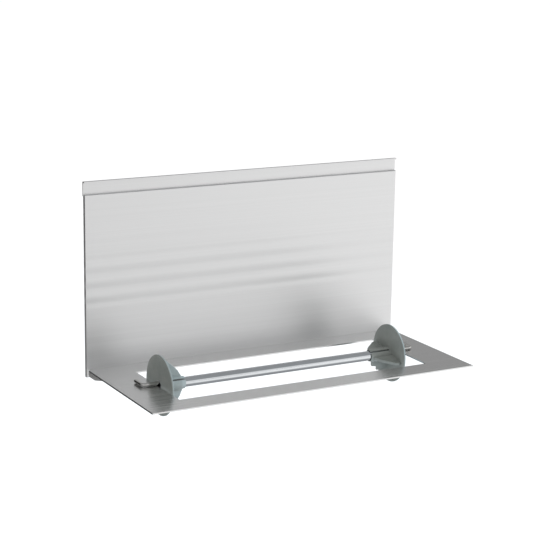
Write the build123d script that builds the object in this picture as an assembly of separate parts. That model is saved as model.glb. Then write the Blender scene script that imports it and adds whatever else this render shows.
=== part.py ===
"""Wall-held cling film dispenser: a folded sheet panel with a cut-out shelf and a loose film spindle.

Frame, in millimetres: X runs along the width, +Y points to the wall, +Z is up.
The origin lies on the header strip's back face, in the wall plane Y = 0, halfway along the width.
"""
import os

from build123d import *

# Overall
WIDTH = 410.0            # width of panel and shelf
SHELF_DROP = 207.0       # from the origin down to the shelf's top face
SHELF_Z = -SHELF_DROP

# Back panel: one folded sheet
PANEL_SHEET = 1.5
PANEL_STANDOFF = 5.0     # wall plane to the panel's front face
HEADER_TOP = 9.5         # top face of the top flange
HEADER_OVERHANG = 0.8    # header past the panel's face, at each end
LEDGE_Z = -5.5           # top face of the ledge under the recessed strip
PANEL_BOTTOM = SHELF_Z - 10.0
PANEL_BEND = 1.0         # outer bend radius

# Shelf: one folded sheet with a rectangular cut-out
SHELF_SHEET = 1.5
SHELF_DEPTH = 179.4      # panel front face to the shelf's front edge
FRONT_STRIP = 30.7       # sheet left in front of the cut-out
CUT_LENGTH = 318.0
CUT_DEPTH = 115.2
CUT_CORNER = 1.0
TAB_HEIGHT = 7.0         # side tabs at the rear corners, from the shelf's top face
TAB_REAR_GAP = 6.0       # panel front face to the tab's rear end
TAB_STRAIGHT = 17.0
TAB_TAPER = 23.0
RELIEF_WIDTH = 4.0       # bend relief at the rear corners
FLANGE_HEIGHT = 8.0      # rear flange welded to the panel
BEND_RADIUS = 1.2

# Axle: round bar lying on the shelf, both ends bent back
ROD_RADIUS = 2.2
ROD_HALF = 176.5         # middle to the centre line of a bent leg
ROD_LEG = 19.0
ROD_BEND = 5.0
ROD_GAP = 0.3            # under the bar, above the sheet
ROD_CHAMFER = 0.5

# Spindle tube hanging on the axle
TUBE_RADIUS = 5.7
TUBE_BORE = 5.1
TUBE_LENGTH = 314.0
HANG_GAP = 0.05          # bore to the top of the bar

# Core plugs: flange, split sleeve, two large fins and a small one
PLUG_BORE = 5.75
FLANGE_RADIUS = 34.5
FLANGE_THICKNESS = 2.2
FLANGE_EDGE = 0.6
SLEEVE_RADIUS = 7.8
SLEEVE_TIP_RADIUS = 6.9
SLEEVE_LENGTH = 29.8     # from the flange's outer face
SLEEVE_TAPER = 5.0
MOUTH_DEPTH = 1.5        # countersink at the sleeve's open end
MOUTH_RADIUS = 6.5
SLIT_WIDTH = 2.2
SLIT_START = 4.5
SLIT_ANGLE = 60.0        # from the first large fin
FIN_THICKNESS = 3.2
FIN_EDGE = 0.4
FIN_ROOT = 1.0           # depth of a fin's root inside the sleeve
LARGE_FIN_ANGLES = (0.0, 180.0)
SMALL_FIN_ANGLE = -90.0
# Fin outlines: distance from the flange's outer face, radius
LARGE_FIN = [(1.5, 27.5), (5.0, 29.0), (9.0, 27.5), (14.0, 22.9), (20.5, 17.5), (23.5, 14.0),
             (25.3, 10.4), (26.6, 8.6), (26.6, 7.0)]
SMALL_FIN = [(1.5, 20.5), (16.0, 20.5), (16.5, 15.6), (23.8, 14.4), (25.2, 7.0)]
PLUG_LEFT_X = -156.5     # outer face of the left plug's flange
PLUG_RIGHT_X = 146.0     # outer face of the right plug's flange
PLUG_LEFT_TURN = -13.0   # about X
PLUG_RIGHT_TURN = 103.0

TOLERANCE = 0.01         # for finding an edge by its place

# Derived places
PANEL_FRONT = -PANEL_STANDOFF
SHELF_FRONT = PANEL_FRONT - SHELF_DEPTH
CUT_FRONT = SHELF_FRONT + FRONT_STRIP
CUT_BACK = CUT_FRONT + CUT_DEPTH
AXIS_Y = (CUT_FRONT + CUT_BACK) / 2
ROD_Z = SHELF_Z + ROD_RADIUS + ROD_GAP
TUBE_Z = ROD_Z - (TUBE_BORE - ROD_RADIUS - HANG_GAP)


def slab(x, y, z):
    """A box from its (low, high) pairs."""
    middle = [(low + high) / 2 for low, high in (x, y, z)]
    return Pos(*middle) * Box(x[1] - x[0], y[1] - y[0], z[1] - z[0])


def side_profile(points, length):
    """A (y, z) outline extruded along X, centred on X = 0."""
    corners = [(-length / 2, y, z) for y, z in points]
    face = make_face(Polyline(*corners, close=True))
    return extrude(face, amount=length, dir=(1, 0, 0))


def long_edges(part, y, z):
    """The edges along X that lie at one (y, z)."""
    found = []
    for edge in part.edges().filter_by(Axis.X):
        centre = edge.center()
        if abs(centre.Y - y) < TOLERANCE and abs(centre.Z - z) < TOLERANCE:
            found.append(edge)
    return found


def panel():
    """Header channel, front face, bottom return and side returns, folded from one sheet."""
    sheet = PANEL_SHEET
    header = [
        (0, HEADER_TOP),
        (PANEL_FRONT, HEADER_TOP),
        (PANEL_FRONT, HEADER_TOP - sheet),
        (-sheet, HEADER_TOP - sheet),
        (-sheet, LEDGE_Z - sheet),
        (0, LEDGE_Z - sheet),
    ]
    face = [
        (0, LEDGE_Z),
        (PANEL_FRONT, LEDGE_Z),
        (PANEL_FRONT, PANEL_BOTTOM),
        (0, PANEL_BOTTOM),
        (0, PANEL_BOTTOM + sheet),
        (PANEL_FRONT + sheet, PANEL_BOTTOM + sheet),
        (PANEL_FRONT + sheet, LEDGE_Z - sheet),
        (0, LEDGE_Z - sheet),
    ]
    body = side_profile(header, WIDTH + 2 * HEADER_OVERHANG) + side_profile(face, WIDTH)
    half = WIDTH / 2
    height = (PANEL_BOTTOM, LEDGE_Z)
    for x in ((-half, -half + sheet), (half - sheet, half)):
        body += slab(x, (PANEL_FRONT, 0), height)
    rounded = long_edges(body, 0, HEADER_TOP)
    rounded += long_edges(body, PANEL_FRONT, LEDGE_Z)
    rounded += long_edges(body, PANEL_FRONT, PANEL_BOTTOM)
    return fillet(rounded, PANEL_BEND)


def side_tab(side):
    """Down-turned tab along a rear side edge, tapering out towards the front."""
    outer = side * WIDTH / 2
    rear = PANEL_FRONT - TAB_REAR_GAP
    corner = rear - TAB_STRAIGHT
    front = corner - TAB_TAPER
    low = SHELF_Z - TAB_HEIGHT
    points = [
        (outer, rear, SHELF_Z),
        (outer, rear, low),
        (outer, corner, low),
        (outer, front, SHELF_Z - SHELF_SHEET),
        (outer, front, SHELF_Z),
    ]
    face = make_face(Polyline(*points, close=True))
    return extrude(face, amount=SHELF_SHEET, dir=(-side, 0, 0))


def shelf():
    """Plate with its cut-out, side tabs and rear flange, folded from one sheet."""
    half = WIDTH / 2
    low = SHELF_Z - SHELF_SHEET
    body = slab((-half, half), (SHELF_FRONT, PANEL_FRONT), (low, SHELF_Z))
    inner = half - RELIEF_WIDTH
    flange = (PANEL_FRONT - SHELF_SHEET, PANEL_FRONT)
    body += slab((-inner, inner), flange, (SHELF_Z - FLANGE_HEIGHT, SHELF_Z))
    for side in (-1, 1):
        body += side_tab(side)
        relief = sorted((side * inner, side * half))
        body -= slab(relief, (PANEL_FRONT - TAB_REAR_GAP, PANEL_FRONT), (low, SHELF_Z))
    window = Box(CUT_LENGTH, CUT_DEPTH, 3 * SHELF_SHEET)
    window = fillet(window.edges().filter_by(Axis.Z), CUT_CORNER)
    body -= Pos(0, AXIS_Y, low) * window
    folds = []
    for edge in body.edges().filter_by(Axis.Y):
        centre = edge.center()
        if abs(abs(centre.X) - half) < TOLERANCE and abs(centre.Z - SHELF_Z) < TOLERANCE:
            folds.append(edge)
    return fillet(folds, BEND_RADIUS)


def axle():
    """Round bar with both ends bent back at a right angle, so that it cannot roll."""
    half = ROD_HALF
    bend = ROD_BEND
    back = AXIS_Y + ROD_LEG
    path = Line((-half, back, ROD_Z), (-half, AXIS_Y + bend, ROD_Z))
    path += RadiusArc((-half, AXIS_Y + bend, ROD_Z), (-half + bend, AXIS_Y, ROD_Z), -bend)
    path += Line((-half + bend, AXIS_Y, ROD_Z), (half - bend, AXIS_Y, ROD_Z))
    path += RadiusArc((half - bend, AXIS_Y, ROD_Z), (half, AXIS_Y + bend, ROD_Z), -bend)
    path += Line((half, AXIS_Y + bend, ROD_Z), (half, back, ROD_Z))
    section = Plane(origin=(-half, back, ROD_Z), z_dir=(0, -1, 0)) * Circle(ROD_RADIUS)
    bar = sweep(section, path=path)
    ends = []
    for edge in bar.edges().filter_by(GeomType.CIRCLE):
        if abs(edge.center().Y - back) < TOLERANCE:
            ends.append(edge)
    return chamfer(ends, ROD_CHAMFER)


def ring(outer, inner, length):
    """A tube along X that starts at X = 0."""
    section = Plane.YZ * (Circle(outer) - Circle(inner))
    return extrude(section, amount=length)


def spindle():
    """Thin tube that turns on the bar."""
    body = ring(TUBE_RADIUS, TUBE_BORE, TUBE_LENGTH)
    return Pos(-TUBE_LENGTH / 2, AXIS_Y, TUBE_Z) * body


def fin(profile, angle):
    """One radial fin, from (x, radius) points, turned about the X axis."""
    points = [(x, -FIN_THICKNESS / 2, radius) for x, radius in profile]
    points.insert(0, (profile[0][0], -FIN_THICKNESS / 2, SLEEVE_RADIUS - FIN_ROOT))
    face = make_face(Polyline(*points, close=True))
    blade = extrude(face, amount=FIN_THICKNESS, dir=(0, 1, 0))
    sides = []
    for side in blade.faces().filter_by(Axis.Y):
        for edge in side.edges():
            centre = edge.center()
            if centre.Z > SLEEVE_RADIUS + FIN_EDGE and centre.X > FLANGE_THICKNESS:
                sides.append(edge)
    return Rot(angle, 0, 0) * chamfer(sides, FIN_EDGE)


def plug():
    """Core plug along X: its flange's outer face is at X = 0, and its sleeve points to +X."""
    disc = Plane.YZ * Circle(FLANGE_RADIUS)
    body = extrude(disc, amount=FLANGE_THICKNESS)
    body = fillet(body.edges(), FLANGE_EDGE)
    straight = SLEEVE_LENGTH - SLEEVE_TAPER
    body += extrude(Plane.YZ * Circle(SLEEVE_RADIUS), amount=straight)
    tip = loft([
        Plane.YZ.offset(straight) * Circle(SLEEVE_RADIUS),
        Plane.YZ.offset(SLEEVE_LENGTH) * Circle(SLEEVE_TIP_RADIUS),
    ])
    body += tip
    for angle in LARGE_FIN_ANGLES:
        body += fin(LARGE_FIN, angle)
    body += fin(SMALL_FIN, SMALL_FIN_ANGLE)
    body -= extrude(Plane.YZ * Circle(PLUG_BORE), amount=SLEEVE_LENGTH)
    mouth = loft([
        Plane.YZ.offset(SLEEVE_LENGTH - MOUTH_DEPTH) * Circle(PLUG_BORE),
        Plane.YZ.offset(SLEEVE_LENGTH) * Circle(MOUTH_RADIUS),
    ])
    body -= mouth
    reach = 2 * SLEEVE_RADIUS
    slit = slab((SLIT_START, SLEEVE_LENGTH), (-SLIT_WIDTH / 2, SLIT_WIDTH / 2), (0, reach))
    return body - Rot(SLIT_ANGLE, 0, 0) * slit


def plug_left():
    """Plug at the tube's left end, sleeve to the right."""
    return Pos(PLUG_LEFT_X, AXIS_Y, TUBE_Z) * Rot(PLUG_LEFT_TURN, 0, 0) * plug()


def plug_right():
    """The same plug near the tube's right end, sleeve to the left."""
    turned = Rot(0, 0, 180) * plug()
    return Pos(PLUG_RIGHT_X, AXIS_Y, TUBE_Z) * Rot(PLUG_RIGHT_TURN, 0, 0) * turned


def main():
    """Write one STEP file per piece."""
    pieces = {
        "back_panel": panel(),
        "shelf": shelf(),
        "axle_bar": axle(),
        "spindle_tube": spindle(),
        "core_plug_left": plug_left(),
        "core_plug_right": plug_right(),
    }
    os.makedirs("parts", exist_ok=True)
    for name, piece in pieces.items():
        export_step(piece, f"parts/{name}.step")


main()
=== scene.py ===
"""Looks for the wall-held film dispenser: brushed sheet, bright bar and tube, moulded plugs."""
import math

import bpy
from mathutils import Matrix, Vector


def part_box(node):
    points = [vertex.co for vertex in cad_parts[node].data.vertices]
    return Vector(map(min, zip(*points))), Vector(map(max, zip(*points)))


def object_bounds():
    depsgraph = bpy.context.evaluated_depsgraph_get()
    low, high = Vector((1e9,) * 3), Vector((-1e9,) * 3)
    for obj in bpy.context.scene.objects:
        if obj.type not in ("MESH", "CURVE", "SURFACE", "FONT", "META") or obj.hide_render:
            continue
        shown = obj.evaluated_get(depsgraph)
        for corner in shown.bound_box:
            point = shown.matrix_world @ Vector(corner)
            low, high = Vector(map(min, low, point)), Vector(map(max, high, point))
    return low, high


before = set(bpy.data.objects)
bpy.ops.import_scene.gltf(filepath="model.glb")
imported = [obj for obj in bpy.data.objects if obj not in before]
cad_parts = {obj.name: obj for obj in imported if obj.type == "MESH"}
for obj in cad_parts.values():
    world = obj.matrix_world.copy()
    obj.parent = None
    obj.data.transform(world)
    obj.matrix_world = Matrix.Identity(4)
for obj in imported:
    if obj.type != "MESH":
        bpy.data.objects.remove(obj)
CAD_LOW, CAD_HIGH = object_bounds()
SCENE = bpy.context.scene
PANEL_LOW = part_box("back_panel")[0]


NOISE_SPREAD = (0.3, 0.7)    # the noise values that a ramp stretches over its full range
BRUSH_DEPTH = 0.0004
DRAWN_DEPTH = 0.0002
MOULD_DEPTH = 0.0003
BUMP_STRENGTH = 0.12


# ---------------------------------------------------------------- node helpers

class Graph:
    """A material's node tree with short calls."""

    def __init__(self, name):
        self.material = bpy.data.materials.new(name)
        self.material.use_nodes = True
        self.tree = self.material.node_tree
        self.tree.nodes.clear()
        self.shader = self.node("ShaderNodeBsdfPrincipled")
        output = self.node("ShaderNodeOutputMaterial")
        self.link(self.shader.outputs["BSDF"], output.inputs["Surface"])

    def node(self, kind, **values):
        made = self.tree.nodes.new(kind)
        for key, value in values.items():
            if hasattr(made, key):
                setattr(made, key, value)
            else:
                made.inputs[key].default_value = value
        return made

    def link(self, source, target):
        self.tree.links.new(source, target)

    def math(self, operation, a, b):
        made = self.node("ShaderNodeMath", operation=operation)
        for socket, value in zip(made.inputs, (a, b)):
            if isinstance(value, (int, float)):
                socket.default_value = value
            else:
                self.link(value, socket)
        return made.outputs[0]

    def noise(self, vector, scale, detail=2.0, roughness=0.5):
        made = self.node("ShaderNodeTexNoise")
        made.inputs["Scale"].default_value = scale
        made.inputs["Detail"].default_value = detail
        made.inputs["Roughness"].default_value = roughness
        self.link(vector, made.inputs["Vector"])
        return made.outputs["Fac"]

    def stretched(self, scale):
        """Object coordinates multiplied by scale, so a noise turns into streaks."""
        place = self.node("ShaderNodeTexCoord")
        made = self.node("ShaderNodeMapping")
        made.inputs["Scale"].default_value = scale
        self.link(place.outputs["Object"], made.inputs["Vector"])
        return made.outputs["Vector"]

    def ramp(self, factor, low, high, start=0.0, end=1.0, kind="LINEAR"):
        made = self.node("ShaderNodeMapRange")
        made.interpolation_type = kind
        made.inputs["From Min"].default_value = start
        made.inputs["From Max"].default_value = end
        made.inputs["To Min"].default_value = low
        made.inputs["To Max"].default_value = high
        self.link(factor, made.inputs["Value"])
        return made.outputs["Result"]

    def colours(self, factor, first, second):
        made = self.node("ShaderNodeMix", data_type="RGBA")
        made.inputs[6].default_value = (*first, 1)
        made.inputs[7].default_value = (*second, 1)
        self.link(factor, made.inputs[0])
        return made.outputs[2]

    def bump(self, height, strength, distance, below=None):
        made = self.node("ShaderNodeBump")
        made.inputs["Strength"].default_value = strength
        made.inputs["Distance"].default_value = distance
        self.link(height, made.inputs["Height"])
        if below is not None:
            self.link(below, made.inputs["Normal"])
        return made.outputs["Normal"]


def brushed(name, tones, rough, grain, bump, wave_height=0.0):
    """Sheet brushed along X: fine streaks in colour, roughness and height, and slow clouding."""
    g = Graph(name)
    fine = g.noise(g.stretched((2.5, 1500, 1500)), 1.0, 3.0, 0.65)
    coarse = g.noise(g.stretched((1.5, 160, 160)), 1.0, 3.0, 0.5)
    cloud = g.noise(g.stretched((5, 6, 6)), 1.0, 2.0, 0.5)
    streak = g.math("ADD", g.math("MULTIPLY", fine, grain), g.math("MULTIPLY", coarse, 1 - grain))
    mixed = g.math("ADD", g.math("MULTIPLY", streak, 0.8), g.math("MULTIPLY", cloud, 0.2))
    g.link(g.colours(g.ramp(mixed, 0, 1, *NOISE_SPREAD), *tones), g.shader.inputs["Base Color"])
    g.link(g.ramp(mixed, rough[0], rough[1], *NOISE_SPREAD), g.shader.inputs["Roughness"])
    below = g.bump(waves(g), 1.0, wave_height) if wave_height else None
    g.link(g.bump(streak, bump, BRUSH_DEPTH, below), g.shader.inputs["Normal"])
    g.shader.inputs["Metallic"].default_value = 1.0
    return g.material


def waves(g):
    """Slight waviness across the sheet, 1 on a crest: a guess at what makes the photo's faint bands."""
    place = g.node("ShaderNodeTexCoord")
    parts = g.node("ShaderNodeSeparateXYZ")
    g.link(place.outputs["Object"], parts.inputs["Vector"])
    above = g.math("SUBTRACT", parts.outputs["Z"], WAVE_MIDDLE)
    wave = g.math("COSINE", g.math("MULTIPLY", above, 2 * math.pi / WAVE_PITCH), 0.0)
    away = g.math("ABSOLUTE", above, 0.0)
    inside = g.ramp(away, 1.0, 0.0, WAVE_REACH * WAVE_FULL, WAVE_REACH, "SMOOTHSTEP")
    return g.math("MULTIPLY", wave, inside)


def drawn(name, tones, rough):
    """Drawn round stock: fine lines along X, with a faint mottle from handling."""
    g = Graph(name)
    lines = g.noise(g.stretched((12, 1400, 1400)), 1.0, 2.0, 0.5)
    mottle = g.noise(g.stretched((60, 60, 60)), 1.0, 3.0, 0.6)
    mixed = g.math("ADD", g.math("MULTIPLY", lines, 0.6), g.math("MULTIPLY", mottle, 0.4))
    g.link(g.colours(g.ramp(mixed, 0, 1, *NOISE_SPREAD), *tones), g.shader.inputs["Base Color"])
    g.link(g.ramp(mixed, rough[0], rough[1], *NOISE_SPREAD), g.shader.inputs["Roughness"])
    g.link(g.bump(lines, BUMP_STRENGTH, DRAWN_DEPTH), g.shader.inputs["Normal"])
    g.shader.inputs["Metallic"].default_value = 1.0
    return g.material


def moulded(name, tones, rough):
    """Moulded grey plastic: faint flow marks in the colour and a fine leathery surface."""
    g = Graph(name)
    flow = g.noise(g.stretched((40, 40, 40)), 1.0, 3.0, 0.6)
    pores = g.noise(g.stretched((1800, 1800, 1800)), 1.0, 2.0, 0.5)
    scuffs = g.noise(g.stretched((90, 420, 420)), 1.0, 4.0, 0.7)
    g.link(g.colours(g.ramp(flow, 0, 1, 0.35, 0.65), *tones), g.shader.inputs["Base Color"])
    g.link(g.ramp(scuffs, rough[0], rough[1], 0.35, 0.7), g.shader.inputs["Roughness"])
    both = g.math("ADD", g.math("MULTIPLY", pores, 0.5), g.math("MULTIPLY", scuffs, 0.5))
    g.link(g.bump(both, BUMP_STRENGTH, MOULD_DEPTH), g.shader.inputs["Normal"])
    return g.material


def paint(node, material):
    """Give a CAD node its material in every slot."""
    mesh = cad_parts[node].data
    if not mesh.materials:
        mesh.materials.append(material)
    for index in range(len(mesh.materials)):
        mesh.materials[index] = material


# ---------------------------------------------------------------- materials

WAVE_MIDDLE = PANEL_LOW.z + 0.1115   # middle crest
WAVE_PITCH = 0.0174
WAVE_REACH = 0.034                   # from the middle crest to where the waves have died out
WAVE_FULL = 0.7                      # share of that reach with the full height
WAVE_HEIGHT = 0.00025

PANEL_TONES = ((0.76, 0.76, 0.76), (0.84, 0.84, 0.84))
SHELF_TONES = ((0.66, 0.66, 0.66), (0.78, 0.78, 0.775))
BAR_TONES = ((0.55, 0.54, 0.52), (0.68, 0.67, 0.65))
TUBE_TONES = ((0.62, 0.64, 0.66), (0.72, 0.74, 0.76))
PLUG_TONES = ((0.165, 0.18, 0.168), (0.205, 0.218, 0.205))
FINE_GRAIN = 0.5                     # share of fine streaks against coarse ones

PANEL = brushed("panel_brushed", PANEL_TONES, (0.42, 0.50), FINE_GRAIN, 0.03, WAVE_HEIGHT)
SHELF = brushed("shelf_brushed", SHELF_TONES, (0.20, 0.30), FINE_GRAIN, 0.06)
BAR = drawn("bar_drawn", BAR_TONES, (0.12, 0.20))
TUBE = drawn("tube_drawn", TUBE_TONES, (0.08, 0.15))
PLUG = moulded("plug_moulded", PLUG_TONES, (0.32, 0.46))

for name, material in (
    ("back_panel", PANEL),
    ("shelf", SHELF),
    ("axle_bar", BAR),
    ("spindle_tube", TUBE),
    ("core_plug_left", PLUG),
    ("core_plug_right", PLUG),
):
    paint(name, material)


# ---------------------------------------------------------------- stage, light, camera

FLOOR_DROP = 0.60        # floor below the lowest point of the object
FLOOR_SIZE = 30.0

ROOM_TONE = (0.36, 0.37, 0.38)
SURROUND = 1.12          # white that the eye and diffuse light see
CARD_EDGE = 25           # degrees over which a wall's ends fade

WINDOW_PLACE = (1.30, -0.45, 0.35)
WINDOW_AIM = (-0.13, -0.10, -0.20)
WINDOW_SIZE = 0.6
WINDOW_POWER = 55
WINDOW_TINT = (0.62, 0.81, 1.0)

CAMERA_TURN = -28.899    # degrees from straight in front, towards +X
CAMERA_RISE = 13.344
CAMERA_ROLL = 0.901
CAMERA_PLACE = (-0.88944, -1.68524, 0.33433)
CAMERA_LENS = 107.85
CAMERA_SENSOR = 36


def make_floor():
    mesh = bpy.data.meshes.new("floor")
    half = FLOOR_SIZE / 2
    z = CAD_LOW.z - FLOOR_DROP
    corners = [(-half, -half, z), (half, -half, z), (half, half, z), (-half, half, z)]
    mesh.from_pydata(corners, [], [(0, 1, 2, 3)])
    floor = bpy.data.objects.new("floor", mesh)
    SCENE.collection.objects.link(floor)
    floor.visible_glossy = False
    g = Graph("floor_pale")
    tone = g.noise(g.stretched((2, 2, 2)), 1.0, 2.0, 0.5)
    g.link(g.colours(tone, (0.95, 0.95, 0.95), (0.98, 0.98, 0.98)), g.shader.inputs["Base Color"])
    g.shader.inputs["Roughness"].default_value = 0.9
    mesh.materials.append(g.material)


def toward(turn, rise):
    """Unit vector: turn degrees from straight in front (-Y) towards +X, rise degrees up."""
    turn, rise = math.radians(turn), math.radians(rise)
    return (math.sin(turn) * math.cos(rise), -math.cos(turn) * math.cos(rise), math.sin(rise))


class Room:
    """The world's node tree: what the metal mirrors, built up card by card over a base tone."""

    def __init__(self, base):
        self.world = bpy.data.worlds.new("white_studio")
        self.world.use_nodes = True
        self.world.cycles.sampling_method = "NONE"
        self.tree = self.world.node_tree
        self.place = self.tree.nodes.new("ShaderNodeTexCoord")
        self.value = self.tree.nodes.new("ShaderNodeRGB").outputs[0]
        self.value.default_value = (*base, 1)

    def fade(self, direction, start, end):
        """0 where the direction's dot product is at start, 1 where it is at end."""
        dot = self.tree.nodes.new("ShaderNodeVectorMath")
        dot.operation = "DOT_PRODUCT"
        dot.inputs[1].default_value = direction
        self.tree.links.new(self.place.outputs["Generated"], dot.inputs[0])
        made = self.tree.nodes.new("ShaderNodeMapRange")
        made.interpolation_type = "SMOOTHSTEP"
        made.inputs["From Min"].default_value = start
        made.inputs["From Max"].default_value = end
        self.tree.links.new(dot.outputs["Value"], made.inputs["Value"])
        return made.outputs["Result"]

    def times(self, a, b):
        made = self.tree.nodes.new("ShaderNodeMath")
        made.operation = "MULTIPLY"
        self.tree.links.new(a, made.inputs[0])
        self.tree.links.new(b, made.inputs[1])
        return made.outputs[0]

    def cover(self, mask, tint):
        """Lay a tint over the room wherever the mask is 1."""
        made = self.tree.nodes.new("ShaderNodeMix")
        made.data_type = "RGBA"
        made.inputs[7].default_value = (*tint, 1)
        self.tree.links.new(mask, made.inputs[0])
        self.tree.links.new(self.value, made.inputs[6])
        self.value = made.outputs[2]

    def card(self, turn, rise, inner, outer, tint):
        """Round soft-edged card: full inside the inner radius, gone at the outer one, in degrees."""
        near, far = (math.cos(math.radians(radius)) for radius in (inner, outer))
        self.cover(self.fade(toward(turn, rise), far, near), tint)

    def wall(self, turn, spread, low, high, soft, tint):
        """Upright soft-edged wall between two heights, facing one way, in degrees."""
        low_start, low_end, high_start, high_end = (
            math.sin(math.radians(edge)) for edge in (low - soft, low + soft, high + soft, high - soft)
        )
        inner, outer = (math.cos(math.radians(edge)) for edge in (spread, spread + CARD_EDGE))
        side = self.fade(toward(turn, 0), outer, inner)
        above = self.fade((0, 0, 1), low_start, low_end)
        below = self.fade((0, 0, 1), high_start, high_end)
        band = self.times(above, below)
        self.cover(self.times(side, band), tint)

    def finish(self, white):
        """The eye and diffuse light see plain white, reflections see the room."""
        paths = self.tree.nodes.new("ShaderNodeLightPath")
        final = self.tree.nodes.new("ShaderNodeMix")
        final.data_type = "RGBA"
        final.inputs[6].default_value = (white, white, white, 1)
        self.tree.links.new(paths.outputs["Is Glossy Ray"], final.inputs[0])
        self.tree.links.new(self.value, final.inputs[7])
        back = self.tree.nodes["Background"]
        self.tree.links.new(final.outputs[2], back.inputs["Color"])
        SCENE.world = self.world


def make_world():
    room = Room(ROOM_TONE)
    # dim space behind the object, then a light wall in front of it
    room.card(180, 5, 40, 95, (0.36, 0.36, 0.36))
    room.wall(20, 75, -34, 24, 8, (0.92, 0.92, 0.92))
    # dimmer to the front left than to the front right
    room.card(-15, -12, 5, 40, (0.50, 0.50, 0.50))
    room.card(52, -12, 5, 40, (1.20, 1.20, 1.20))
    # dark screen at the back left, with a small light card low down in it
    room.wall(-151, 35, -40, 30, 4, (0.02, 0.02, 0.02))
    room.card(-151, -27, 8, 13, (0.95, 0.95, 0.95))
    room.finish(SURROUND)


def area(name, place, target, size, power, colour):
    """Soft square lamp aimed at a point, which the metal doesn't mirror."""
    light = bpy.data.lights.new(name, "AREA")
    light.shape = "SQUARE"
    light.size = size
    light.energy = power
    light.color = colour
    lamp = bpy.data.objects.new(name, light)
    lamp.location = place
    aim = Vector(target) - Vector(place)
    lamp.rotation_mode = "QUATERNION"
    lamp.rotation_quaternion = aim.to_track_quat("-Z", "Y")
    lamp.visible_glossy = False
    SCENE.collection.objects.link(lamp)


def make_camera():
    """Camera to the front left of the object, a little above it."""
    turn, rise, roll = (math.radians(a) for a in (CAMERA_TURN, CAMERA_RISE, CAMERA_ROLL))
    back = Vector((math.sin(turn) * math.cos(rise), -math.cos(turn) * math.cos(rise), math.sin(rise)))
    side = Vector((math.cos(turn), math.sin(turn), 0))
    up = back.cross(side)
    side, up = side * math.cos(roll) + up * math.sin(roll), up * math.cos(roll) - side * math.sin(roll)
    data = bpy.data.cameras.new("camera")
    data.sensor_width = CAMERA_SENSOR
    data.lens = CAMERA_LENS
    camera = bpy.data.objects.new("camera", data)
    camera.matrix_world = Matrix((
        (side.x, up.x, back.x, CAMERA_PLACE[0]),
        (side.y, up.y, back.y, CAMERA_PLACE[1]),
        (side.z, up.z, back.z, CAMERA_PLACE[2]),
        (0, 0, 0, 1),
    ))
    data.clip_start, data.clip_end = 0.01, 100
    SCENE.collection.objects.link(camera)
    SCENE.camera = camera


make_floor()
make_world()
make_camera()
area("window", WINDOW_PLACE, WINDOW_AIM, WINDOW_SIZE, WINDOW_POWER, WINDOW_TINT)
SCENE.view_settings.view_transform = "Standard"
SCENE.view_settings.look = "None"
